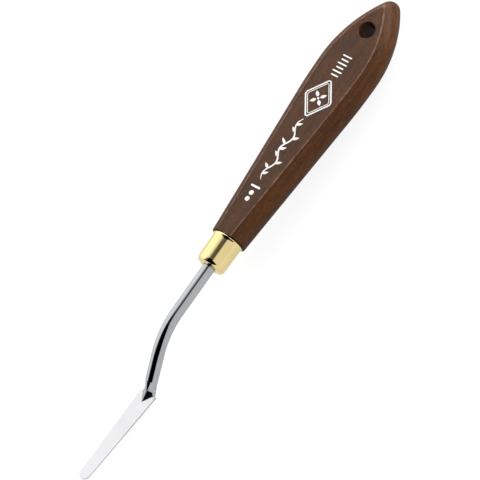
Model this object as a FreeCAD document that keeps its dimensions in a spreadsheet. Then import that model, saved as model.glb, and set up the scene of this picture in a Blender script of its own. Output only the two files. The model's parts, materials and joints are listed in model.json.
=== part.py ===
# Palette knife: a wooden handle, a brass ferrule, a cranked steel blade and the adhesive round its tang.
#
# Every body is drawn in the knife's own frame, in millimetres: +X runs along the handle towards the butt,
# +Z stands out of the decorated face, and the origin is where the ferrule's mouth meets the handle.
# One placement then lays all of them down as the knife rests on a table, on its heel and its butt.
import FreeCAD, Part
import math
import os
import Sketcher

# Driving dimensions: alias, size in millimetres (degrees for an angle), meaning.
DIMENSIONS = (
    ("handle_thick", 10.7, "handle, flat face to flat face"),
    ("side_bulge", 3.4, "how far the convex side stands out past the flat face's edge"),
    ("mouth_half", 2.8, "half width of the flat face at the ferrule"),
    ("belly_half", 7.75, "half width of the flat face at its widest"),
    ("belly_at", 68.5, "station of the widest place"),
    ("shoulder_radius", 175.0, "arc that leads the straight side into the belly"),
    ("face_tip_at", 92.4, "station where the two edges of the flat face would meet in a point"),
    ("tip_overrun", 4.0, "how far past the middle plane each half is drawn before it is cut there"),
    ("tip_radius", 2.7, "rounding of the butt's upright edge, where the convex sides meet"),
    ("ridge_round", 1.2, "rounding of the edge between a flat face and the side"),
    ("mouth_chamfer", 0.25, "chamfer round the handle's front end"),
    ("hang_hole_dia", 5.8, "hanging hole"),
    ("hang_hole_at", 82.3, "station of the hanging hole"),
    ("hang_hole_chamfer", 0.3, "chamfer at both ends of the hanging hole"),
    ("tenon_len", 10.3, "turned tenon inside the ferrule"),
    ("tenon_root_dia", 9.5, "tenon at the ferrule's mouth"),
    ("tenon_end_dia", 9.2, "tenon at its free end"),
    ("tenon_chamfer", 1.5, "lead-in chamfer on the tenon"),
    ("tang_bore_dia", 5.2, "bore for the tang"),
    ("tang_bore_end", 32.0, "station of the bottom of that bore"),
    ("ferrule_len", 10.85, "ferrule, front face to mouth"),
    ("ferrule_front_dia", 10.1, "ferrule's cone at the front"),
    ("ferrule_neck_dia", 10.45, "ferrule's cone where the flare starts"),
    ("ferrule_lip_dia", 10.95, "outside of the lip at the mouth"),
    ("ferrule_flare_len", 0.95, "flare, from the cone to the mouth"),
    ("ferrule_lip_len", 0.35, "straight lip at the mouth"),
    ("ferrule_wall", 0.45, "thickness of the ferrule's front wall"),
    ("ferrule_corner", 1.7, "outside rounding of the ferrule's front"),
    ("ferrule_lip_round", 0.14, "rounding of the lip's edges"),
    ("shank_hole_dia", 4.7, "hole in the ferrule's front for the shank"),
    ("shank_dia", 4.3, "round shank"),
    ("tang_root_at", 6.0, "station where the tang starts to taper"),
    ("tang_end_at", 28.0, "station of the tang's end"),
    ("tang_end_dia", 2.4, "tang at its end"),
    ("bend_at", 28.9, "distance from the mouth to the start of the crank"),
    ("bend_radius", 21.8, "crank, on the shank's centre line"),
    ("crank_angle", 39.8, "turn of the crank, degrees"),
    ("crank_run", 14.4, "straight run from the crank's bend to the heel"),
    ("foot_len", 5.0, "last stretch of that run, where the shank turns into the foot"),
    ("foot_half", 2.8, "half width of the foot at the heel"),
    ("foot_rise", 2.3, "crest of the foot above the blade's middle plane at the heel"),
    ("foot_sink", 0.13, "how far the foot reaches below that plane"),
    ("foot_crest_half", 0.3, "half width of the rounded crest of the foot"),
    ("foot_nose", 3.4, "how far the foot's pointed nose runs on to the blade"),
    ("nose_half", 0.64, "half width of the nose at its point"),
    ("nose_rise", 0.41, "crest of the nose above the blade's middle plane at its point"),
    ("nose_crest_half", 0.12, "half width of the rounded crest there"),
    ("blade_rise", 5.4, "slope of the blade up from the heel, degrees"),
    ("blade_len", 36.1, "blade, heel to tip"),
    ("blade_heel_width", 6.4, "blade at the heel"),
    ("blade_tip_radius", 2.0, "rounded tip of the blade"),
    ("blade_heel_thick", 0.65, "blade at the heel"),
    ("blade_tip_thick", 0.42, "blade at the tip"),
)
SIZE = {alias: value for alias, value, meaning in DIMENSIONS}

# The heel: the point where the shank's centre line meets the blade's middle plane.
CRANK = "dims.crank_angle * 1 deg"
HEEL_BACK = f"(dims.bend_at + dims.bend_radius * sin({CRANK}) + dims.crank_run * cos({CRANK}))"
HEEL_DROP = f"(dims.bend_radius * (1 - cos({CRANK})) + dims.crank_run * sin({CRANK}))"
crank = math.radians(SIZE["crank_angle"])
blade_rise = math.radians(SIZE["blade_rise"])
heel_back = SIZE["bend_at"] + SIZE["bend_radius"] * math.sin(crank) + SIZE["crank_run"] * math.cos(crank)
heel_drop = SIZE["bend_radius"] * (1 - math.cos(crank)) + SIZE["crank_run"] * math.sin(crank)

# The handle's ogive side: its radius, and how far above its centre it starts.
OGIVE_RADIUS = "(((dims.face_tip_at - dims.belly_at) ^ 2 + dims.belly_half ^ 2) / (2 * dims.belly_half))"
OGIVE_START_UP = f"({OGIVE_RADIUS} - dims.belly_half - dims.tip_overrun)"

START, END, CENTRE = 1, 2, 3      # Sketcher's names for the points of an edge
NEAR = 1e-3                       # how close two sizes are that are taken to be the same
ORIGIN, X_AXIS = -1, -1           # the sketch origin is point 1 of the horizontal axis
WASTE = 12.0                      # reach of a cutting sketch past what it trims
TILT_STEPS = 5                    # rounds that find the knife's tilt on the table
UP = FreeCAD.Vector(0, 0, 1)

doc = FreeCAD.newDocument("palette_knife")


def add_dimensions():
    """Write the driving dimensions into the spreadsheet."""
    sheet = doc.addObject("Spreadsheet::Sheet", "dims")
    for row, (alias, value, meaning) in enumerate(DIMENSIONS, start=1):
        sheet.set(f"A{row}", meaning)
        sheet.set(f"B{row}", str(value))
        sheet.setAlias(f"B{row}", alias)
    doc.recompute()


def add_body(label):
    body = doc.addObject("PartDesign::Body", label)
    body.Label = label
    return body


def origin_feature(body, role):
    return next(feature for feature in body.Origin.OriginFeatures if feature.Role == role)


def add_sketch(body, name, role, axis=None, shift=None, angle=None):
    """Add a sketch on an origin plane, shifted by three expressions and turned about a local axis."""
    sketch = body.newObject("Sketcher::SketchObject", name)
    sketch.AttachmentSupport = [(origin_feature(body, role), "")]
    sketch.MapMode = "FlatFace"
    if axis:
        turn = FreeCAD.Rotation(FreeCAD.Vector(*axis), 1)
        sketch.AttachmentOffset = FreeCAD.Placement(FreeCAD.Vector(), turn)
        sketch.setExpression("AttachmentOffset.Rotation.Angle", angle)
    for letter, expression in (shift or {}).items():
        sketch.setExpression(f"AttachmentOffset.Base.{letter}", expression)
    return sketch


def drive(sketch, kind, refs, value, expression):
    """Add a constraint whose size follows the spreadsheet."""
    index = sketch.addConstraint(Sketcher.Constraint(kind, *refs, value))
    sketch.setExpression(f"Constraints[{index}]", expression)


def pin(sketch, edge, point, across=None, up=None):
    """Hold a sketch point at signed distances from the origin; 0 puts it on that axis."""
    place = sketch.getPoint(edge, point)
    for kind, value, expression in (("DistanceX", place.x, across), ("DistanceY", place.y, up)):
        if expression is None:
            continue
        if expression == 0:
            axis = -2 if kind == "DistanceX" else -1
            sketch.addConstraint(Sketcher.Constraint("PointOnObject", edge, point, axis))
        elif value < 0:
            drive(sketch, kind, (edge, point, ORIGIN, 1), -value, f"-({expression})")
        else:
            drive(sketch, kind, (ORIGIN, 1, edge, point), value, expression)


def line(start, end):
    return Part.LineSegment(FreeCAD.Vector(*start, 0), FreeCAD.Vector(*end, 0))


def arc(start, middle, end):
    return Part.Arc(*(FreeCAD.Vector(*point, 0) for point in (start, middle, end)))


def join(sketch, first, first_point, second, second_point):
    sketch.addConstraint(Sketcher.Constraint("Coincident", first, first_point, second, second_point))


def add_polygon(sketch, corners):
    """Draw a closed polygon; each corner is a rough place and the two expressions that fix it."""
    first = sketch.GeometryCount
    count = len(corners)
    for i, (place, _, _) in enumerate(corners):
        sketch.addGeometry(line(place, corners[(i + 1) % count][0]), False)
    for i in range(count):
        join(sketch, first + i, END, first + (i + 1) % count, START)
    for i, (_, across, up) in enumerate(corners):
        pin(sketch, first + i, START, across, up)


def add_circle(sketch, diameter):
    """Draw a circle of a spreadsheet diameter; its centre is still free."""
    circle = Part.Circle(FreeCAD.Vector(), UP, SIZE[diameter] / 2)
    edge = sketch.addGeometry(circle, False)
    drive(sketch, "Diameter", (edge,), SIZE[diameter], f"dims.{diameter}")
    return edge


def centre_on_origin(sketch, edge):
    join(sketch, edge, CENTRE, ORIGIN, 1)


def extrude(body, kind, name, sketch, length=None, both_ways=False, backwards=False):
    """Pad or pocket a sketch; no length means through everything. The change of volume is checked."""
    before = body.Shape.Volume if body.Tip else 0.0
    feature = body.newObject(f"PartDesign::{kind}", name)
    feature.Profile = sketch
    if both_ways:
        feature.SideType = "Symmetric"
    if length:
        feature.setExpression("Length", length)
    else:
        feature.Type = "ThroughAll"
    feature.Reversed = backwards
    doc.recompute()
    check_change(feature, before, grows=kind == "Pad")
    return feature


def revolve(body, name, sketch):
    """Turn a sketch right round the sketch's horizontal axis, which is the knife's X axis."""
    before = body.Shape.Volume if body.Tip else 0.0
    feature = body.newObject("PartDesign::Revolution", name)
    feature.Profile = sketch
    feature.ReferenceAxis = (sketch, ["H_Axis"])
    feature.Angle = 360
    doc.recompute()
    check_change(feature, before, grows=True)
    return feature


def check_change(feature, before, grows):
    """Stop if a feature left the solid as it was, because a misplaced cut shows no error."""
    change = feature.Shape.Volume - before
    if (change <= 0) if grows else (change >= 0):
        raise RuntimeError(f"{feature.Name} changed the volume by {change:.3f}")


def dress(body, kind, name, size, is_wanted):
    """Fillet or chamfer the edges of the body's last feature that is_wanted picks."""
    base = body.Tip
    edges = [f"Edge{i}" for i, edge in enumerate(base.Shape.Edges, start=1) if is_wanted(edge)]
    feature = body.newObject(f"PartDesign::{kind}", name)
    feature.Base = (base, edges)
    feature.setExpression("Radius" if kind == "Fillet" else "Size", size)
    doc.recompute()
    return feature


def is_ring(edge, station, diameter):
    """True for a circle round the X axis at a station, of a diameter."""
    curve = edge.Curve
    if not isinstance(curve, Part.Circle):
        return False
    return abs(curve.Center.x - station) < NEAR and abs(curve.Radius - diameter / 2) < NEAR


def build_handle():
    """The handle: flat faces, convex sides swept round their outline, hanging hole, tenon and bore."""
    body = add_body("handle")
    half_thick = SIZE["handle_thick"] / 2

    # Half of the flat face, and a strip past the middle plane. The ogive side runs on past the tip; the
    # shoulder arc and the straight side lead back to the mouth.
    outline = add_sketch(body, "face_outline", "XY_Plane")
    tip, belly, mouth = SIZE["face_tip_at"], SIZE["belly_at"], SIZE["mouth_half"]
    belly_half, shoulder = SIZE["belly_half"], SIZE["shoulder_radius"]
    over, bulge = SIZE["tip_overrun"], SIZE["side_bulge"]
    ogive = ((tip - belly) ** 2 + belly_half ** 2) / (2 * belly_half)
    start_turn = math.acos((ogive - belly_half - over) / ogive)

    def on_ogive(turn):
        return belly + ogive * math.sin(turn), belly_half - ogive + ogive * math.cos(turn)

    def on_shoulder(back):
        return belly - back, belly_half - shoulder + math.sqrt(shoulder ** 2 - back ** 2)

    # The side's end is a rough place, which the constraints settle.
    side_end = on_shoulder(belly / 4)
    start = on_ogive(start_turn)
    outline.addGeometry(arc(start, on_ogive(start_turn / 2), on_ogive(0)), False)
    outline.addGeometry(arc(on_ogive(0), on_shoulder(belly / 8), side_end), False)
    outline.addGeometry(line(side_end, (0, mouth)), False)
    outline.addGeometry(line((0, mouth), (0, -over)), False)
    outline.addGeometry(line((0, -over), start), False)
    ogive_arc, shoulder_arc, straight_side, mouth_line, base_line = range(5)
    outline.addConstraint(Sketcher.Constraint("Tangent", ogive_arc, END, shoulder_arc, START))
    outline.addConstraint(Sketcher.Constraint("Tangent", shoulder_arc, END, straight_side, START))
    join(outline, straight_side, END, mouth_line, START)
    join(outline, mouth_line, END, base_line, START)
    join(outline, base_line, END, ogive_arc, START)
    outline.addConstraint(Sketcher.Constraint("Horizontal", base_line))
    pin(outline, ogive_arc, START, None, "-dims.tip_overrun")
    pin(outline, ogive_arc, END, "dims.belly_at", "dims.belly_half")
    pin(outline, ogive_arc, CENTRE, "dims.belly_at", None)
    pin(outline, straight_side, END, 0, "dims.mouth_half")
    pin(outline, mouth_line, END, 0, None)
    drive(outline, "Radius", (ogive_arc,), ogive, OGIVE_RADIUS)
    drive(outline, "Radius", (shoulder_arc,), shoulder, "dims.shoulder_radius")
    core = extrude(body, "Pad", "flat_core", outline, "dims.handle_thick", both_ways=True)

    # The convex side: a segment of a circle that stands on the core's wall where the ogive side starts,
    # square to it, and is swept from there along the outline to the mouth.
    segment = add_sketch(body, "side_segment", "XZ_Plane", axis=(0, 1, 0),
                         angle=f"asin({OGIVE_START_UP} / {OGIVE_RADIUS})",
                         shift={"x": f"dims.belly_at + sqrt({OGIVE_RADIUS} ^ 2 - {OGIVE_START_UP} ^ 2)",
                                "z": "dims.tip_overrun"})
    segment.addGeometry(line((0, -half_thick), (0, half_thick)), False)
    segment.addGeometry(arc((0, -half_thick), (bulge, 0), (0, half_thick)), False)
    join(segment, 0, START, 1, START)
    join(segment, 0, END, 1, END)
    segment.addConstraint(Sketcher.Constraint("Symmetric", 0, START, 0, END, X_AXIS))
    pin(segment, 0, END, 0, "dims.handle_thick / 2")
    drive(segment, "Radius", (1,), segment.Geometry[1].Radius,
          "(dims.side_bulge ^ 2 + dims.handle_thick ^ 2 / 4) / (2 * dims.side_bulge)")
    side = body.newObject("PartDesign::AdditivePipe", "convex_side")
    side.Profile = segment
    side.Spine = (outline, ["Edge1", "Edge2", "Edge3"])
    doc.recompute()
    check_change(side, core.Shape.Volume, grows=True)

    # What lies past the middle plane is cut off, and the half is mirrored there.
    past_middle = add_sketch(body, "past_middle", "XZ_Plane")
    far = tip + WASTE
    add_polygon(past_middle, [(corner, None, None) for corner in
                              ((-WASTE, -WASTE), (far, -WASTE), (far, WASTE), (-WASTE, WASTE))])
    half = extrude(body, "Pocket", "middle_cut", past_middle, backwards=True)
    mirrored = body.newObject("PartDesign::Mirrored", "both_sides")
    mirrored.TransformMode = "Whole shape"
    mirrored.MirrorPlane = (origin_feature(body, "XZ_Plane"), [""])
    body.Tip = mirrored
    doc.recompute()
    check_change(mirrored, half.Shape.Volume, grows=True)

    def is_butt_edge(edge):
        box = edge.BoundBox
        return box.YLength < NEAR and box.XMin > tip - NEAR

    dress(body, "Fillet", "butt_rounding", "dims.tip_radius", is_butt_edge)

    # The side sweeps in square to the tapering outline, so a sliver of it stands past the mouth.
    trim = add_sketch(body, "front_trim", "YZ_Plane")
    add_polygon(trim, [((y * WASTE, z * WASTE), None, None) for y, z in ((-1, -1), (1, -1), (1, 1), (-1, 1))])
    extrude(body, "Pocket", "front_end", trim, "dims.mouth_half")

    def is_ridge(edge):
        box = edge.BoundBox
        return box.ZLength < NEAR and abs(abs(box.ZMax) - half_thick) < NEAR and box.XMax > NEAR

    dress(body, "Fillet", "ridge_rounding", "dims.ridge_round", is_ridge)
    dress(body, "Chamfer", "front_edge", "dims.mouth_chamfer", lambda edge: edge.BoundBox.XMax < NEAR)

    hole = add_sketch(body, "hang_hole_circle", "XY_Plane")
    circle = add_circle(hole, "hang_hole_dia")
    pin(hole, circle, CENTRE, "dims.hang_hole_at", 0)
    extrude(body, "Pocket", "hang_hole", hole, both_ways=True)

    def is_hole_rim(edge):
        curve = edge.Curve
        return isinstance(curve, Part.Circle) and abs(curve.Radius - SIZE["hang_hole_dia"] / 2) < NEAR

    dress(body, "Chamfer", "hang_hole_edges", "dims.hang_hole_chamfer", is_hole_rim)

    tenon = add_sketch(body, "tenon_profile", "XZ_Plane")
    root, end = SIZE["tenon_root_dia"] / 2, SIZE["tenon_end_dia"] / 2
    long, cut = SIZE["tenon_len"], SIZE["tenon_chamfer"]
    add_polygon(tenon, [
        ((mouth, 0), "dims.mouth_half", 0),
        ((mouth, end), "dims.mouth_half", "dims.tenon_end_dia / 2"),
        ((0, root), 0, "dims.tenon_root_dia / 2"),
        ((-long + cut, end), "-dims.tenon_len + dims.tenon_chamfer", "dims.tenon_end_dia / 2"),
        ((-long, end - cut), "-dims.tenon_len", "dims.tenon_end_dia / 2 - dims.tenon_chamfer"),
        ((-long, 0), "-dims.tenon_len", 0),
    ])
    revolve(body, "tenon", tenon)

    bore = add_sketch(body, "tang_bore_circle", "YZ_Plane", shift={"z": "-dims.tenon_len"})
    centre_on_origin(bore, add_circle(bore, "tang_bore_dia"))
    extrude(body, "Pocket", "tang_bore", bore, "dims.tenon_len + dims.tang_bore_end", backwards=True)
    return body


def build_ferrule():
    """The ferrule: a drawn cup, coned, flared to a lip at its mouth, with a rounded pierced front."""
    body = add_body("ferrule")
    long, wall, flare = SIZE["ferrule_len"], SIZE["ferrule_wall"], SIZE["ferrule_flare_len"]
    front, neck, lip = (SIZE[f"ferrule_{place}_dia"] / 2 for place in ("front", "neck", "lip"))
    hole, mouth, bottom = SIZE["shank_hole_dia"] / 2, SIZE["tenon_root_dia"] / 2, SIZE["tenon_end_dia"] / 2
    profile = add_sketch(body, "cup_profile", "XZ_Plane")
    add_polygon(profile, [
        ((-long, hole), "-dims.ferrule_len", "dims.shank_hole_dia / 2"),
        ((-long, front), "-dims.ferrule_len", "dims.ferrule_front_dia / 2"),
        ((-flare, neck), "-dims.ferrule_flare_len", "dims.ferrule_neck_dia / 2"),
        ((-SIZE["ferrule_lip_len"], lip), "-dims.ferrule_lip_len", "dims.ferrule_lip_dia / 2"),
        ((0, lip), 0, "dims.ferrule_lip_dia / 2"),
        ((0, mouth), 0, "dims.tenon_root_dia / 2"),
        ((wall - long, bottom), "dims.ferrule_wall - dims.ferrule_len", "dims.tenon_end_dia / 2"),
        ((wall - long, hole), "dims.ferrule_wall - dims.ferrule_len", "dims.shank_hole_dia / 2"),
    ])
    revolve(body, "drawn_cup", profile)
    dress(body, "Fillet", "front_corner", "dims.ferrule_corner",
          lambda edge: is_ring(edge, -long, SIZE["ferrule_front_dia"]))
    dress(body, "Fillet", "inner_corner", "dims.ferrule_corner - dims.ferrule_wall",
          lambda edge: is_ring(edge, wall - long, SIZE["tenon_end_dia"]))
    dress(body, "Fillet", "flare_blend", "dims.ferrule_flare_len",
          lambda edge: is_ring(edge, -flare, SIZE["ferrule_neck_dia"]))
    dress(body, "Fillet", "lip_rounding", "dims.ferrule_lip_round",
          lambda edge: is_ring(edge, 0, SIZE["ferrule_lip_dia"])
          or is_ring(edge, -SIZE["ferrule_lip_len"], SIZE["ferrule_lip_dia"]))
    dress(body, "Fillet", "hole_edge", "dims.ferrule_lip_round",
          lambda edge: is_ring(edge, -long, SIZE["shank_hole_dia"]))
    return body


def build_blade():
    """The forged steel piece: blade, pointed foot, cranked shank and tang."""
    body = add_body("blade")
    heel = {"y": f"-{HEEL_DROP}", "z": f"-{HEEL_BACK}"}
    long, half_heel, half_tip = SIZE["blade_len"], SIZE["blade_heel_thick"] / 2, SIZE["blade_tip_thick"] / 2

    # The blade is a thin wedge, seen from the side, as wide as the heel.
    wedge = add_sketch(body, "blade_wedge", "XZ_Plane", axis=(0, 0, -1), angle="dims.blade_rise * 1 deg",
                       shift={"x": f"-{HEEL_BACK}", "y": f"-{HEEL_DROP}"})
    add_polygon(wedge, [
        ((0, half_heel), 0, "dims.blade_heel_thick / 2"),
        ((-long, half_tip), "-dims.blade_len", "dims.blade_tip_thick / 2"),
        ((-long, -half_tip), "-dims.blade_len", "-dims.blade_tip_thick / 2"),
        ((0, -half_heel), 0, "-dims.blade_heel_thick / 2"),
    ])
    extrude(body, "Pad", "blade_blank", wedge, "dims.blade_heel_width", both_ways=True)

    # Its outline is what is left when the waste round it is cut away.
    waste = add_sketch(body, "blade_waste", "XY_Plane", axis=(0, 1, 0), angle="dims.blade_rise * 1 deg",
                       shift={"x": f"-{HEEL_BACK}", "z": f"-{HEEL_DROP}"})
    half_width, tip = SIZE["blade_heel_width"] / 2, SIZE["blade_tip_radius"]
    box = ((-long - WASTE, -WASTE), (WASTE, -WASTE), (WASTE, WASTE), (-long - WASTE, WASTE))
    add_polygon(waste, [(corner, None, None) for corner in box])
    left, tip_arc, right, heel_line = range(4, 8)
    waste.addGeometry(line((0, half_width), (tip - long, tip)), False)
    waste.addGeometry(arc((tip - long, tip), (-long, 0), (tip - long, -tip)), False)
    waste.addGeometry(line((tip - long, -tip), (0, -half_width)), False)
    waste.addGeometry(line((0, -half_width), (0, half_width)), False)
    waste.addConstraint(Sketcher.Constraint("Tangent", left, END, tip_arc, START))
    waste.addConstraint(Sketcher.Constraint("Tangent", tip_arc, END, right, START))
    join(waste, right, END, heel_line, START)
    join(waste, heel_line, END, left, START)
    pin(waste, left, START, 0, "dims.blade_heel_width / 2")
    pin(waste, right, END, 0, "-dims.blade_heel_width / 2")
    pin(waste, tip_arc, CENTRE, "dims.blade_tip_radius - dims.blade_len", 0)
    drive(waste, "Radius", (tip_arc,), tip, "dims.blade_tip_radius")
    extrude(body, "Pocket", "blade_outline", waste, both_ways=True)

    # The foot: from the round shank to a roof-shaped section at the heel, then to a point on the blade.
    foot_start = {"y": f"-({HEEL_DROP} - dims.foot_len * sin({CRANK}))",
                  "z": f"-({HEEL_BACK} - dims.foot_len * cos({CRANK}))"}
    rise = "dims.blade_rise * 1 deg"
    nose = {"y": f"-({HEEL_DROP} - dims.foot_nose * sin({rise}))",
            "z": f"-({HEEL_BACK} + dims.foot_nose * cos({rise}))"}
    round_end = add_sketch(body, "foot_round_end", "YZ_Plane", axis=(-1, 0, 0), angle=CRANK, shift=foot_start)
    add_split_circle(round_end, "shank_dia")
    at_heel = add_sketch(body, "foot_at_heel", "YZ_Plane", axis=(1, 0, 0), angle=rise, shift=heel)
    add_roof(at_heel, "foot_half", "foot_rise", "foot_crest_half")
    at_nose = add_sketch(body, "foot_nose_point", "YZ_Plane", axis=(1, 0, 0), angle=rise, shift=nose)
    add_roof(at_nose, "nose_half", "nose_rise", "nose_crest_half")
    for name, near, far in (("foot", round_end, at_heel), ("foot_point", at_heel, at_nose)):
        before = body.Shape.Volume
        loft = body.newObject("PartDesign::AdditiveLoft", name)
        loft.Profile = near
        loft.Sections = [far]
        loft.Ruled = True
        doc.recompute()
        check_change(loft, before, grows=True)

    # The crank: the round shank swept round the bend and down the straight run to the foot.
    route = add_sketch(body, "crank_route", "XZ_Plane")
    bend, radius = SIZE["bend_at"], SIZE["bend_radius"]
    middle, corner = math.pi / 2 + crank / 2, math.pi / 2 + crank
    on_bend = [(-bend + radius * math.cos(a), -radius + radius * math.sin(a)) for a in (middle, corner)]
    run = SIZE["crank_run"] - SIZE["foot_len"]
    foot = (on_bend[1][0] - run * math.cos(crank), on_bend[1][1] - run * math.sin(crank))
    route.addGeometry(arc((-bend, 0), *on_bend), False)
    route.addGeometry(line(on_bend[1], foot), False)
    route.addConstraint(Sketcher.Constraint("Tangent", 0, END, 1, START))
    pin(route, 0, START, "-dims.bend_at", 0)
    pin(route, 0, CENTRE, "-dims.bend_at", "-dims.bend_radius")
    pin(route, 1, END, f"-({HEEL_BACK} - dims.foot_len * cos({CRANK}))",
        f"-({HEEL_DROP} - dims.foot_len * sin({CRANK}))")
    section = add_sketch(body, "shank_section", "YZ_Plane", shift={"z": "-dims.bend_at"})
    centre_on_origin(section, add_circle(section, "shank_dia"))
    before = body.Shape.Volume
    crank_pipe = body.newObject("PartDesign::AdditivePipe", "crank")
    crank_pipe.Profile = section
    crank_pipe.Spine = (route, ["Edge1", "Edge2"])
    doc.recompute()
    check_change(crank_pipe, before, grows=True)

    # The straight shank, and the tang that tapers inside the handle.
    tang = add_sketch(body, "tang_profile", "XZ_Plane")
    thick, thin = SIZE["shank_dia"] / 2, SIZE["tang_end_dia"] / 2
    add_polygon(tang, [
        ((-bend, 0), "-dims.bend_at", 0),
        ((-bend, thick), "-dims.bend_at", "dims.shank_dia / 2"),
        ((SIZE["tang_root_at"], thick), "dims.tang_root_at", "dims.shank_dia / 2"),
        ((SIZE["tang_end_at"], thin), "dims.tang_end_at", "dims.tang_end_dia / 2"),
        ((SIZE["tang_end_at"], 0), "dims.tang_end_at", 0),
    ])
    revolve(body, "shank_and_tang", tang)
    return body


def add_split_circle(sketch, diameter):
    """Draw a circle as four arcs that match a roof section: right flank, crest, left flank, bottom."""
    radius = SIZE[diameter] / 2
    turns = [math.radians(a) for a in (-60, 0, 60, 90, 120, 180, 240, 270, 300)]
    points = [(radius * math.cos(a), radius * math.sin(a)) for a in turns]
    for i in range(4):
        sketch.addGeometry(arc(*points[2 * i:2 * i + 3]), False)
    for i in range(4):
        join(sketch, i, END, (i + 1) % 4, START)
    for i in range(3):
        centre_on_origin(sketch, i)
    for i in (0, 3):
        drive(sketch, "Radius", (i,), radius, f"dims.{diameter} / 2")
    for i, side in enumerate(("", "", "-", "-")):
        pin(sketch, i, START, f"{side}dims.{diameter} / 4", None)


def add_roof(sketch, half, rise, crest):
    """Draw a section like a roof, from three dimensions' names: right flank, crest, left flank, bottom.

    The rounded crest is half as high as its half width, so its radius is 1.25 times that half width.
    """
    half_wide, top, crest_half, low = SIZE[half], SIZE[rise], SIZE[crest], -SIZE["foot_sink"]
    shoulder = top - crest_half / 2
    sketch.addGeometry(line((half_wide, low), (crest_half, shoulder)), False)
    sketch.addGeometry(arc((crest_half, shoulder), (0, top), (-crest_half, shoulder)), False)
    sketch.addGeometry(line((-crest_half, shoulder), (-half_wide, low)), False)
    sketch.addGeometry(line((-half_wide, low), (half_wide, low)), False)
    for i in range(4):
        join(sketch, i, END, (i + 1) % 4, START)
    pin(sketch, 0, START, f"dims.{half}", "-dims.foot_sink")
    pin(sketch, 2, END, f"-dims.{half}", "-dims.foot_sink")
    pin(sketch, 1, START, f"dims.{crest}", f"dims.{rise} - dims.{crest} / 2")
    pin(sketch, 1, END, f"-dims.{crest}", f"dims.{rise} - dims.{crest} / 2")
    drive(sketch, "Radius", (1,), 1.25 * crest_half, f"1.25 * dims.{crest}")


def build_adhesive():
    """The cured adhesive: a sleeve round the tang that fills the handle's bore to its bottom."""
    body = add_body("tang_adhesive")
    profile = add_sketch(body, "sleeve_profile", "XZ_Plane")
    shank, end, bore = SIZE["shank_dia"] / 2, SIZE["tang_end_dia"] / 2, SIZE["tang_bore_dia"] / 2
    add_polygon(profile, [
        ((-SIZE["tenon_len"], shank), "-dims.tenon_len", "dims.shank_dia / 2"),
        ((SIZE["tang_root_at"], shank), "dims.tang_root_at", "dims.shank_dia / 2"),
        ((SIZE["tang_end_at"], end), "dims.tang_end_at", "dims.tang_end_dia / 2"),
        ((SIZE["tang_end_at"], 0), "dims.tang_end_at", 0),
        ((SIZE["tang_bore_end"], 0), "dims.tang_bore_end", 0),
        ((SIZE["tang_bore_end"], bore), "dims.tang_bore_end", "dims.tang_bore_dia / 2"),
        ((-SIZE["tenon_len"], bore), "-dims.tenon_len", "dims.tang_bore_dia / 2"),
    ])
    revolve(body, "sleeve", profile)
    return body


def turned_box(shape, turn):
    """The tight box of a shape after a rotation about the origin."""
    turned = shape.copy()
    turned.Placement = FreeCAD.Placement(FreeCAD.Vector(), turn)
    return turned.optimalBoundingBox(False, False)


def lay_down(handle, ferrule, blade, adhesive):
    """Turn every body about Y until butt and heel touch the table z = 0 together, with the box centred."""
    tilt = 0.0
    for _ in range(TILT_STEPS):
        turn = FreeCAD.Rotation(FreeCAD.Vector(0, 1, 0), tilt)
        gap = turned_box(handle.Shape, turn).ZMin - turned_box(blade.Shape, turn).ZMin
        tilt += math.degrees(math.atan2(gap, SIZE["face_tip_at"] + heel_back))
    bodies = (handle, ferrule, blade, adhesive)
    box = turned_box(Part.makeCompound([body.Shape for body in bodies]), turn)
    shift = FreeCAD.Vector(-(box.XMin + box.XMax) / 2, 0, -box.ZMin)
    for body in bodies:
        body.Placement = FreeCAD.Placement(shift, turn)
    doc.recompute()


def check_document(bodies):
    """Stop if any object failed to recompute or any sub-part is not one valid solid."""
    failed = [item.Name for item in doc.Objects if "Invalid" in item.State or "Error" in item.State]
    if failed:
        raise RuntimeError(f"failed: {failed}")
    for body in bodies:
        shape = body.Shape
        if shape.isNull() or not shape.isValid() or len(shape.Solids) != 1:
            raise RuntimeError(f"{body.Label} is not one valid solid")


def main():
    add_dimensions()
    bodies = [build_handle(), build_ferrule(), build_blade(), build_adhesive()]
    lay_down(*bodies)
    check_document(bodies)
    os.makedirs("parts", exist_ok=True)
    for body in bodies:
        box = body.Shape.optimalBoundingBox(False, False)
        print(f"{body.Label}: {body.Shape.Volume:.1f} mm3, {box}")
        body.Shape.exportStep(f"parts/{body.Label}.step")


main()
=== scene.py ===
import json
import math
import bmesh
import bpy
from mathutils import Matrix, Vector


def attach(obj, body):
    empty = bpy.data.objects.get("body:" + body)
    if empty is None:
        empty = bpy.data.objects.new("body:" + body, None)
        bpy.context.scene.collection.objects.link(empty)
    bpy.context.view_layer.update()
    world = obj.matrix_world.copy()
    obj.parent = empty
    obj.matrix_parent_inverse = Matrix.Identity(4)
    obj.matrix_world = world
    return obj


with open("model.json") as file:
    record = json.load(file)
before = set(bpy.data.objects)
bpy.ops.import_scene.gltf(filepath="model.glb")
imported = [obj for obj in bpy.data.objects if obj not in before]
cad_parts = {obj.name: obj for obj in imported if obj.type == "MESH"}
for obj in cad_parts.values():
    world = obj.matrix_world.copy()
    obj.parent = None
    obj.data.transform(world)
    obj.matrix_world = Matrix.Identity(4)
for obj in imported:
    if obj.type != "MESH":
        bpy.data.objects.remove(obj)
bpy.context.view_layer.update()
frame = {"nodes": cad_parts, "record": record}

MM = 0.001

# ------------------------------------------------------------------ the knife's own axes, from the frame
# ALONG runs to the butt, NORMAL out of the decorated face, RIGHT to its right side with the butt upwards.
hanging_hole = next(m for m in frame["record"]["mounts"] if m["name"] == "hanging_hole")
NORMAL = Vector(hanging_hole["axis"]).normalized()
ALONG = Vector((NORMAL.z, 0.0, -NORMAL.x))
RIGHT = ALONG.cross(NORMAL)
HOLE = Vector(hanging_hole["pos_m"])


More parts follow.
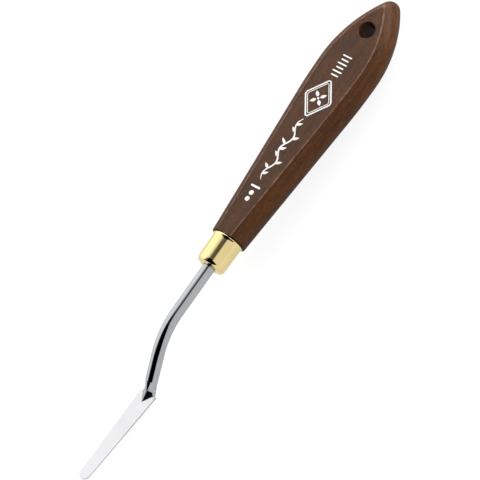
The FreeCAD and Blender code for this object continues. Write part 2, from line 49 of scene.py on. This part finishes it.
def reach(node, direction):
    """How far a node reaches along a direction, in metres from the frame's origin."""
    return max(vertex.co.dot(direction) for vertex in frame["nodes"][node].data.vertices)


# MOUTH is the centre of the ferrule's mouth, where stations along the knife start.
MOUTH = HOLE + ALONG * (reach("ferrule", ALONG) - HOLE.dot(ALONG))
KNIFE = Matrix((ALONG, -RIGHT, NORMAL)).transposed().to_4x4()
KNIFE.translation = MOUTH
FACE = (reach("handle", NORMAL) - MOUTH.dot(NORMAL)) / MM
BUTT = (reach("handle", ALONG) - MOUTH.dot(ALONG)) / MM


def lowest_on_blade():
    """The station, in millimetres from the mouth, of the heel, on which the blade's end rests."""
    low = min(frame["nodes"]["blade"].data.vertices, key=lambda vertex: vertex.co.z)
    return (low.co - MOUTH).dot(ALONG) / MM


HEEL_AT = lowest_on_blade()
BLADE_FLAT = max(frame["nodes"]["blade"].data.polygons, key=lambda face: face.area).normal


def at(along, left, up):
    """A place in the frame, from millimetres along the knife, to its left and out of its face."""
    return KNIFE @ Vector((along * MM, left * MM, up * MM))


# ------------------------------------------------------------------ node helpers
class Shader:
    """A material's nodes, with short ways to add and join them."""

    def __init__(self, name):
        self.material = bpy.data.materials.new(name)
        self.material.use_nodes = True
        self.tree = self.material.node_tree
        self.surface = self.tree.nodes["Principled BSDF"]

    def add(self, kind, settings=None, **inputs):
        node = self.tree.nodes.new(kind)
        for key, value in (settings or {}).items():
            setattr(node, key, value)
        for key, value in inputs.items():
            self.set(node, key, value)
        return node

    def set(self, node, key, value):
        """Set or link an input. Its key is its name with underscores for spaces, or i and its number."""
        by_number = key[0] == "i" and key[1:].isdigit()
        socket = node.inputs[int(key[1:])] if by_number else node.inputs[key.replace("_", " ")]
        if isinstance(value, bpy.types.NodeSocket):
            self.tree.links.new(value, socket)
        else:
            socket.default_value = value

    def knife_place(self):
        """The place in the knife's own axes, in millimetres."""
        place = self.add("ShaderNodeTexCoord").outputs["Object"]
        mapping = self.add("ShaderNodeMapping", {"vector_type": "TEXTURE"}, Vector=place,
                           Location=KNIFE.translation, Rotation=KNIFE.to_euler(), Scale=(MM, MM, MM))
        return mapping.outputs["Vector"]

    def stretch(self, place, scale):
        node = self.add("ShaderNodeVectorMath", {"operation": "MULTIPLY"}, i0=place, i1=scale)
        return node.outputs["Vector"]

    def noise(self, place, scale, detail=3.0, roughness=0.5, distortion=0.0):
        return self.add("ShaderNodeTexNoise", Vector=place, Scale=scale, Detail=detail, Roughness=roughness,
                        Distortion=distortion).outputs["Fac"]

    def math(self, operation, first, second=0.0):
        return self.add("ShaderNodeMath", {"operation": operation}, i0=first, i1=second).outputs["Value"]

    def remap(self, value, low, high, to_low=0.0, to_high=1.0, smooth=True):
        kind = "SMOOTHSTEP" if smooth else "LINEAR"
        node = self.add("ShaderNodeMapRange", {"interpolation_type": kind}, Value=value,
                        From_Min=low, From_Max=high, To_Min=to_low, To_Max=to_high)
        return node.outputs["Result"]

    def mix(self, factor, first, second, blend="MIX"):
        """Mix two colours, which this node has at inputs 6 and 7, with the result at output 2."""
        settings = {"data_type": "RGBA", "blend_type": blend}
        return self.add("ShaderNodeMix", settings, i0=factor, i6=first, i7=second).outputs[2]

    def bump(self, height, distance, strength=1.0):
        """Bump of a height from 0 to 1 that stands for this many millimetres."""
        node = self.add("ShaderNodeBump", Height=height, Distance=distance * MM, Strength=strength)
        return node.outputs["Normal"]

    def facing(self, direction):
        """The cosine between the surface and a direction, without its sign."""
        normal = self.add("ShaderNodeTexCoord").outputs["Normal"]
        product = self.add("ShaderNodeVectorMath", {"operation": "DOT_PRODUCT"}, i0=normal, i1=direction)
        return self.math("ABSOLUTE", product.outputs["Value"])


def colour(red, green, blue):
    """An opaque colour from its linear parts."""
    return (red, green, blue, 1.0)


# ------------------------------------------------------------------ materials
DARK_STAIN = colour(0.050, 0.017, 0.005)
LIGHT_STAIN = colour(0.098, 0.036, 0.009)
FLECK = colour(0.140, 0.062, 0.020)
PORE = colour(0.016, 0.006, 0.003)
# Lighter colour along the ridges: partly rubbed wear, partly a painted highlight.
RUBBED_AND_HIGHLIT_RIDGE = colour(0.230, 0.150, 0.110)
CLEAN_BRASS = colour(0.87, 0.71, 0.35)
TARNISHED_BRASS = colour(0.83, 0.67, 0.31)
DRAWN_STEEL = colour(0.43, 0.445, 0.46), colour(0.465, 0.475, 0.49)
HONED_STEEL = colour(0.58, 0.58, 0.59), colour(0.61, 0.61, 0.62)
BUBBLE = colour(0.72, 0.62, 0.42)
AMBER = colour(0.50, 0.34, 0.14)
FRESH_INK = colour(0.82, 0.81, 0.80)
WORN_INK = colour(0.52, 0.46, 0.43)
# The stain's colours are multiplied by these: on the flat faces, as painted shade; along the sides; low on
# the sides, as painted shade; and in the joint with the ferrule.
FLAT_PAINTED_SHADE = 0.78
SIDE_SHADE_AT_MOUTH, SIDE_SHADE_AT_BUTT = 0.86, 0.98
LOW_SIDE_PAINTED_SHADE = 0.30
JOINT_SHADE = 0.25
FACE_PAINTED_SHEEN = 0.015     # a painted sheen: grey added to the flat faces in place of the lacquer's reflection
HEEL_BLEND = 0.3      # half the stretch over which the shank's finish turns into the blade's
HONED_MATT = 0.15     # how much rougher the honed blade is than the drawn shank


def stained_wood():
    """Beech under a dark brown stain and a satin lacquer, a little rubbed along the ridges, with a painted
    highlight there too. Painted shade darkens the flat faces and the sides low down, and a painted sheen
    greys the flat faces.
    """
    s = Shader("stained_wood")
    place = s.knife_place()
    fibre = s.noise(s.stretch(place, (0.05, 1.0, 1.0)), 2.6, detail=6.0, roughness=0.62)
    bands = s.noise(s.stretch(place, (0.014, 0.5, 0.5)), 0.9, detail=3.0, distortion=0.6)
    blotch = s.noise(s.stretch(place, (0.35, 1.0, 1.0)), 0.22, detail=4.0, roughness=0.6)
    flecks = s.noise(s.stretch(place, (0.42, 3.4, 3.4)), 1.0, detail=1.0)
    fleck_mask = s.remap(flecks, 0.62, 0.70)
    pores = s.noise(s.stretch(place, (0.6, 7.0, 7.0)), 1.0, detail=2.0)
    pore_mask = s.remap(pores, 0.62, 0.70)
    tone = s.math("ADD", s.math("MULTIPLY", fibre, 0.45), s.math("MULTIPLY", bands, 0.25))
    tone = s.math("ADD", tone, s.math("MULTIPLY", blotch, 0.30))
    stain = s.mix(s.remap(tone, 0.36, 0.64), DARK_STAIN, LIGHT_STAIN)
    stain = s.mix(s.math("MULTIPLY", fleck_mask, 0.30), stain, FLECK)
    stain = s.mix(s.math("MULTIPLY", pore_mask, 0.45), stain, PORE)
    facing = s.facing(NORMAL)
    ridge = s.math("MULTIPLY", s.remap(facing, 0.9995, 0.990), s.remap(facing, 0.885, 0.925))
    # The flat faces get painted shade and a painted sheen. The sides get lighter towards the butt and are
    # darkened low down with painted shade.
    flat = s.remap(facing, 0.975, 0.998)
    apart = s.add("ShaderNodeSeparateXYZ", Vector=place).outputs
    station, height = apart["X"], apart["Z"]
    lengthwise = s.remap(station, 0.0, BUTT, SIDE_SHADE_AT_MOUTH, SIDE_SHADE_AT_BUTT, smooth=False)
    side = s.math("MULTIPLY", lengthwise, s.remap(height, -0.6 * FACE, 0.2 * FACE, LOW_SIDE_PAINTED_SHADE, 1.0))
    shade = s.math("ADD", side, s.math("MULTIPLY", flat, s.math("SUBTRACT", FLAT_PAINTED_SHADE, side)))
    speckle = s.noise(s.stretch(place, (0.6, 1.0, 1.0)), 1.7, detail=2.0, roughness=0.7)
    shade = s.math("MULTIPLY", shade, s.remap(speckle, 0.30, 0.70, 0.80, 1.20))
    shade = s.math("MULTIPLY", shade, s.remap(station, 0.05, 0.50, JOINT_SHADE, 1.0))
    # Here the painted shade goes into the stain's colour, and then the flat faces' painted sheen is added.
    stain = s.mix(1.0, stain, shade, "MULTIPLY")
    stain = s.mix(1.0, stain, s.math("MULTIPLY", flat, FACE_PAINTED_SHEEN), "ADD")
    # The ridges get a lighter colour, partly rubbed wear and partly a painted highlight.
    ridge_wear_and_highlight = s.math("MULTIPLY", ridge, s.remap(s.noise(place, 0.5, detail=4.0), 0.35, 0.70, 0.25, 0.75))
    stain = s.mix(ridge_wear_and_highlight, stain, RUBBED_AND_HIGHLIT_RIDGE)
    s.set(s.surface, "Base_Color", stain)
    s.set(s.surface, "Roughness", s.remap(fibre, 0.3, 0.7, 0.40, 0.55))
    relief = s.math("SUBTRACT", s.math("MULTIPLY", fibre, 0.35), pore_mask)
    s.set(s.surface, "Normal", s.bump(relief, 0.012))
    s.surface.inputs["Specular IOR Level"].default_value = 0.06
    s.surface.inputs["Coat Weight"].default_value = 0.11
    s.surface.inputs["Coat Roughness"].default_value = 0.18
    s.surface.inputs["Coat IOR"].default_value = 1.5
    waviness = s.noise(s.stretch(place, (0.3, 1.0, 1.0)), 0.8, detail=2.0)
    s.set(s.surface, "Coat_Normal", s.bump(waviness, 0.010))
    return s.material


def ferrule_brass():
    """Polished drawn brass, with faint marks round it and slight tarnish."""
    s = Shader("ferrule_brass")
    place = s.knife_place()
    tarnish = s.noise(place, 0.35, detail=5.0, roughness=0.6)
    marks = s.noise(s.stretch(place, (6.0, 0.8, 0.8)), 1.0, detail=3.0)
    s.set(s.surface, "Base_Color", s.mix(s.remap(tarnish, 0.35, 0.70), CLEAN_BRASS, TARNISHED_BRASS))
    s.set(s.surface, "Roughness", s.remap(s.math("ADD", tarnish, marks), 0.8, 1.3, 0.09, 0.17))
    s.set(s.surface, "Normal", s.bump(marks, 0.0012))
    s.surface.inputs["Metallic"].default_value = 1.0
    return s.material


def polished_steel():
    """Polished drawn steel, with fine finishing lines along it and a honed, duller blade."""
    s = Shader("polished_steel")
    place = s.knife_place()
    lines = s.noise(s.stretch(place, (0.12, 9.0, 9.0)), 1.0, detail=4.0, roughness=0.65)
    cloud = s.noise(place, 0.16, detail=3.0)
    along = s.add("ShaderNodeSeparateXYZ", Vector=place).outputs["X"]
    past_heel = s.remap(along, HEEL_AT + HEEL_BLEND, HEEL_AT - HEEL_BLEND)
    ground = s.math("MULTIPLY", past_heel, s.remap(s.facing(BLADE_FLAT), 0.97, 0.99))
    drawn = s.mix(s.remap(cloud, 0.35, 0.65), *DRAWN_STEEL)
    honed = s.mix(s.remap(cloud, 0.35, 0.65), *HONED_STEEL)
    s.set(s.surface, "Base_Color", s.mix(ground, drawn, honed))
    matt = s.math("MULTIPLY", ground, HONED_MATT)
    s.set(s.surface, "Roughness", s.math("ADD", s.remap(lines, 0.3, 0.7, 0.05, 0.11), matt))
    s.set(s.surface, "Normal", s.bump(lines, 0.0010))
    s.surface.inputs["Metallic"].default_value = 1.0
    return s.material


def cured_adhesive():
    """Amber epoxy with small bubbles."""
    s = Shader("cured_adhesive")
    place = s.knife_place()
    cells = s.add("ShaderNodeTexVoronoi", Vector=place, Scale=1.4)
    bubble = s.remap(cells.outputs["Distance"], 0.12, 0.20)
    s.set(s.surface, "Base_Color", s.mix(bubble, BUBBLE, AMBER))
    s.set(s.surface, "Roughness", s.remap(bubble, 0.0, 1.0, 0.55, 0.30))
    s.set(s.surface, "Normal", s.bump(bubble, 0.05))
    return s.material


def white_ink():
    """Thin printed ink that lets a little of the wood's grain through."""
    s = Shader("white_ink")
    place = s.knife_place()
    worn = s.noise(s.stretch(place, (0.5, 2.5, 2.5)), 1.6, detail=5.0, roughness=0.7)
    s.set(s.surface, "Base_Color", s.mix(s.remap(worn, 0.50, 0.80), FRESH_INK, WORN_INK))
    s.set(s.surface, "Roughness", s.remap(worn, 0.3, 0.7, 0.40, 0.60))
    s.set(s.surface, "Normal", s.bump(worn, 0.006))
    return s.material


def paint(node, material):
    """Give a CAD node its material."""
    mesh = frame["nodes"][node].data
    mesh.materials.clear()
    mesh.materials.append(material)


# ------------------------------------------------------------------ the printed decoration
INK_THICK = 0.03      # how far the ink stands proud of the face
INK_SUNK = 0.02       # how far it reaches into the wood, so that no gap shows
INK_SLOPE = 0.9       # width of a stroke's top, next to its base
FINEST = 0.02         # half width at which a leaf's ends stop
CAP_STEPS = 5         # steps in a quarter turn of a stroke's round end


def stroke(mesh, points, half_widths, closed=False):
    """Add one ink stroke: a thin slab along a line of (along, left) places, with a half width at each."""
    count = len(points)
    rows = []
    for i, (point, half) in enumerate(zip(points, half_widths)):
        before = points[i - 1] if i or closed else point
        after = points[(i + 1) % count] if i < count - 1 or closed else point
        heading = (Vector(after) - Vector(before)).normalized()
        side = Vector((-heading.y, heading.x))
        row = []
        for offset, up in ((1.0, -INK_SUNK), (INK_SLOPE, INK_THICK), (-INK_SLOPE, INK_THICK),
                           (-1.0, -INK_SUNK)):
            place = Vector(point) + side * (half * offset)
            row.append(mesh.verts.new(at(place.x, place.y, FACE + up)))
        rows.append(row)
    for i in range(count if closed else count - 1):
        near, far = rows[i], rows[(i + 1) % count]
        for j in range(4):
            mesh.faces.new((near[j], near[(j + 1) % 4], far[(j + 1) % 4], far[j]))
    if not closed:
        mesh.faces.new(rows[0][::-1])
        mesh.faces.new(rows[-1])


def rounded(points, half):
    """A stroke of even width with round ends: the extra points past each end, and the half widths."""
    first, last = Vector(points[0]), Vector(points[-1])
    start, finish = (first - Vector(points[1])).normalized(), (last - Vector(points[-2])).normalized()
    turns = [math.radians(90 * i / CAP_STEPS) for i in range(1, CAP_STEPS)]
    head = [(first + start * (half * math.sin(t)), half * math.cos(t)) for t in reversed(turns)]
    tail = [(last + finish * (half * math.sin(t)), half * math.cos(t)) for t in turns]
    middle = [(Vector(point), half) for point in points]
    both = head + middle + tail
    return [place for place, _ in both], [width for _, width in both]


def dot(mesh, along, left, radius):
    """A round dot: a stroke with hardly any length between its round ends."""
    nearly_none = 0.02 * radius
    stroke(mesh, *rounded([(along - nearly_none, left), (along + nearly_none, left)], radius))


def bar(mesh, along, half_long, half_wide):
    """A short bar across the face, with round ends."""
    stroke(mesh, *rounded([(along, -half_long), (along, half_long)], half_wide))


def leaf(mesh, base, direction, length, half, steps=12):
    """A pointed leaf that starts at base."""
    base, direction = Vector(base), Vector(direction).normalized()
    shares = [i / steps for i in range(steps + 1)]
    points = [base + direction * (length * share) for share in shares]
    widths = [max(FINEST, half * math.sin(math.pi * share ** 0.8)) for share in shares]
    stroke(mesh, points, widths)


def ink_piece(name, draw, material):
    """Make one ink piece; draw adds its strokes."""
    mesh = bmesh.new()
    draw(mesh)
    bmesh.ops.recalc_face_normals(mesh, faces=mesh.faces)
    data = bpy.data.meshes.new(name)
    mesh.to_mesh(data)
    mesh.free()
    data.materials.append(material)
    piece = bpy.data.objects.new(name, data)
    bpy.context.collection.objects.link(piece)
    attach(piece, "root")


def size_pips(mesh):
    """Two dots and a bar near the ferrule."""
    radius = 0.85
    for share in (0.17, 0.145):
        dot(mesh, share * BUTT, 0.0, radius)
    bar(mesh, 0.195 * BUTT, half_long=1.5, half_wide=0.38)


def trailing_vine(mesh):
    """A waved stem that thins out at both ends, with leaves on both sides."""
    start, length = 0.225 * BUTT, 0.255 * BUTT
    waves, swing, steps = 2.5, 1.0, 96
    thin, thicker = 0.09, 0.24
    leaves, leaf_long, leaf_half = 9, 2.7, 0.50
    first_leaf, leaf_gap, forward = 0.08, 0.10, 0.75

    def on_stem(share):
        return Vector((start + length * share, swing * math.sin(2 * math.pi * waves * share)))

    shares = [i / steps for i in range(steps + 1)]
    widths = [thin + thicker * math.sin(math.pi * share) ** 0.6 for share in shares]
    stroke(mesh, [on_stem(share) for share in shares], widths)
    for i in range(leaves):
        share = first_leaf + leaf_gap * i
        side = 1 if i % 2 else -1
        length_here = leaf_long - 0.9 * abs(share - 0.5)
        leaf(mesh, on_stem(share), (forward, side), length_here, leaf_half)


def diamond_badge(mesh):
    """A double diamond with a four-petalled flower."""
    middle, half_long, half_wide = 0.567 * BUTT, 7.4, 5.35
    petal_start, petal_long, petal_half, heart = 0.7, 2.3, 0.62, 0.42
    for scale, width in ((1.0, 0.26), (0.84, 0.13)):
        long, wide = half_long * scale, half_wide * scale
        corners = [(long, 0), (0, wide), (-long, 0), (0, -wide)]
        points = []
        for i, corner in enumerate(corners):
            following = corners[(i + 1) % 4]
            for share in (0.06, 0.5, 0.94):
                place = Vector(corner).lerp(Vector(following), share)
                points.append((middle + place.x, place.y))
        stroke(mesh, points, [width] * len(points), closed=True)
    for turn in range(4):
        angle = math.radians(45 + 90 * turn)
        direction = (math.cos(angle), math.sin(angle))
        base = (middle + petal_start * direction[0], petal_start * direction[1])
        leaf(mesh, base, direction, petal_long, petal_half)
    dot(mesh, middle, 0.0, heart)


def tally_bars(mesh):
    """A row of short bars between the badge and the hanging hole, every other one longer."""
    first, spacing, count = 0.664 * BUTT, 1.5, 6
    for i in range(count):
        bar(mesh, first + spacing * i, half_long=1.6 if i % 2 else 1.2, half_wide=0.27)


# ------------------------------------------------------------------ stage, light and camera
ROLL = math.radians(32.5)           # turn of the knife about its length, away from the decorated face
LEAN = math.radians(12.5)           # how far the blade's end leans towards the camera
SCREEN_TURN = math.radians(35.35)   # the butt's direction in the picture, clockwise from up
FRAME_WIDTH = 154.7                 # width of the picture at the knife, in millimetres
AIM_ACROSS, AIM_ALONG = 3.01, 2.34  # picture centre, in millimetres from the ferrule's mouth
LENS, SENSOR = 1200.0, 36.0
FAR_CLIP, FLOOR_SIZE = 100.0, 30.0  # in metres
FLOOR_GREY = 0.20                   # what the floor reflects
FLOOR_SEEN, FLOOR_LIT = 0.84, 0.64  # how it glows to the camera, and as a light and in reflections
LEFT_GLOW, RIGHT_GLOW = 1.40, 0.88  # brightness of the tent's two walls
GAP_GLOW, BACK_GLOW = 0.11, 4.6     # and of the gap between them and of the light behind the butt
LEFT_WALL = (0.532, -0.809, 0.247)  # where the left wall is, in the knife's axes
EDGE_UPRIGHT, EDGE_LEANING = 0.445, 1.26  # the right wall's edge, as turns about the knife's length
EDGE_SOFTNESS = 0.06


def camera_axes():
    """Right, up and towards-the-camera directions, and the two that follow the knife on the picture."""
    raised = NORMAL * math.cos(ROLL) + RIGHT * math.sin(ROLL)
    across = RIGHT * math.cos(ROLL) - NORMAL * math.sin(ROLL)
    lengthwise = ALONG * math.cos(LEAN) + raised * math.sin(LEAN)
    towards = raised * math.cos(LEAN) - ALONG * math.sin(LEAN)
    right = across * math.cos(SCREEN_TURN) + lengthwise * math.sin(SCREEN_TURN)
    up = lengthwise * math.cos(SCREEN_TURN) - across * math.sin(SCREEN_TURN)
    return right, up, towards, across, lengthwise


def add_camera():
    """A long lens far away, that looks at the decorated face and the right side."""
    right, up, towards, across, lengthwise = camera_axes()
    target = MOUTH + across * (AIM_ACROSS * MM) + lengthwise * (AIM_ALONG * MM)
    data = bpy.data.cameras.new("camera")
    data.lens = LENS
    data.sensor_width = SENSOR
    data.clip_end = FAR_CLIP
    camera = bpy.data.objects.new("camera", data)
    bpy.context.collection.objects.link(camera)
    distance = FRAME_WIDTH * MM * LENS / SENSOR
    matrix = Matrix((right, up, towards)).transposed().to_4x4()
    matrix.translation = target + towards * distance
    camera.matrix_world = matrix
    bpy.context.scene.camera = camera


def floor_paint():
    """A pale floor that hardly shows a shadow."""
    s = Shader("floor")
    s.surface.inputs["Base Color"].default_value = colour(FLOOR_GREY, FLOOR_GREY, FLOOR_GREY)
    s.surface.inputs["Emission Color"].default_value = colour(1.0, 1.0, 1.0)
    seen = s.add("ShaderNodeLightPath").outputs["Is Camera Ray"]
    s.set(s.surface, "Emission_Strength", s.remap(seen, 0.0, 1.0, FLOOR_LIT, FLOOR_SEEN, smooth=False))
    s.surface.inputs["Roughness"].default_value = 0.9
    return s.material


def add_floor():
    bpy.ops.mesh.primitive_plane_add(size=FLOOR_SIZE, location=(0.0, 0.0, 0.0))
    floor = bpy.context.object
    floor.name = "floor"
    floor.data.materials.append(floor_paint())


def add_light_tent():
    """A soft tent: a bright left wall, a dimmer right one, a dark gap between and a strong light behind."""
    world = bpy.data.worlds.new("light_tent")
    bpy.context.scene.world = world
    world.use_nodes = True
    tree = world.node_tree
    nodes, links = tree.nodes, tree.links
    nodes.clear()

    def node(kind, settings=None, *inputs):
        made = nodes.new(kind)
        for key, value in (settings or {}).items():
            setattr(made, key, value)
        for i, value in enumerate(inputs):
            if isinstance(value, bpy.types.NodeSocket):
                links.new(value, made.inputs[i])
            elif value is not None:
                made.inputs[i].default_value = value
        return made

    def math_node(operation, *inputs):
        return node("ShaderNodeMath", {"operation": operation}, *inputs).outputs[0]

    direction = node("ShaderNodeTexCoord").outputs["Generated"]

    def towards(along, right, normal):
        """How far a direction points along a vector given in the knife's axes."""
        axis = ALONG * along + RIGHT * right + NORMAL * normal
        made = node("ShaderNodeVectorMath", {"operation": "DOT_PRODUCT"}, direction, axis)
        return made.outputs["Value"]

    def ramp(value, low, high, to_low, to_high, kind="SMOOTHSTEP"):
        made = node("ShaderNodeMapRange", {"interpolation_type": kind}, value, low, high, to_low, to_high)
        return made.outputs[0]

    lengthwise = towards(1.0, 0.0, 0.0)
    turn = math_node("ARCTAN2", towards(0.0, 1.0, 0.0), towards(0.0, 0.0, 1.0))
    # The left wall fades in between two bounds, which rise towards the butt.
    leftwards = towards(*LEFT_WALL)
    low = ramp(lengthwise, -0.70, -0.34, 0.0, 0.26, "LINEAR")
    high = ramp(lengthwise, -0.80, 0.30, 0.30, 0.80, "LINEAR")
    left_wall = ramp(leftwards, low, high, 0.0, LEFT_GLOW)
    # The right wall's edge stands upright beside the handle and leans outwards past the blade's end.
    edge = ramp(lengthwise, -0.15, -0.54, EDGE_UPRIGHT, EDGE_LEANING, "LINEAR")
    right_wall = ramp(math_node("SUBTRACT", turn, edge), -EDGE_SOFTNESS, EDGE_SOFTNESS, 0.0, RIGHT_GLOW)
    gap = ramp(lengthwise, -0.05, 0.20, 0.0, GAP_GLOW)
    back_light = ramp(lengthwise, 0.45, 0.75, 0.0, BACK_GLOW)
    walls = math_node("MAXIMUM", math_node("MAXIMUM", left_wall, right_wall), gap)
    glow = math_node("ADD", walls, back_light)
    # The camera itself sees an even white backdrop past the floor.
    backdrop = node("ShaderNodeBackground", None, (1.0, 1.0, 1.0, 1.0), 1.0)
    tent = node("ShaderNodeBackground", None, (1.0, 1.0, 1.0, 1.0), glow)
    seen = node("ShaderNodeLightPath").outputs["Is Camera Ray"]
    choice = node("ShaderNodeMixShader", None, seen, tent.outputs[0], backdrop.outputs[0])
    output = nodes.new("ShaderNodeOutputWorld")
    links.new(choice.outputs[0], output.inputs["Surface"])


def add_stage():
    """Camera, floor and light, with colours shown as they are."""
    add_camera()
    add_floor()
    add_light_tent()
    bpy.context.scene.view_settings.view_transform = "Standard"
    bpy.context.scene.view_settings.look = "None"
    bpy.context.scene.view_settings.exposure = 0.0


def main():
    for node, make in (("handle", stained_wood), ("ferrule", ferrule_brass), ("blade", polished_steel),
                       ("tang_adhesive", cured_adhesive)):
        paint(node, make())
    ink = white_ink()
    for name, draw in (("size_pips", size_pips), ("trailing_vine", trailing_vine),
                       ("diamond_badge", diamond_badge), ("tally_bars", tally_bars)):
        ink_piece(name, draw, ink)
    add_stage()


main()
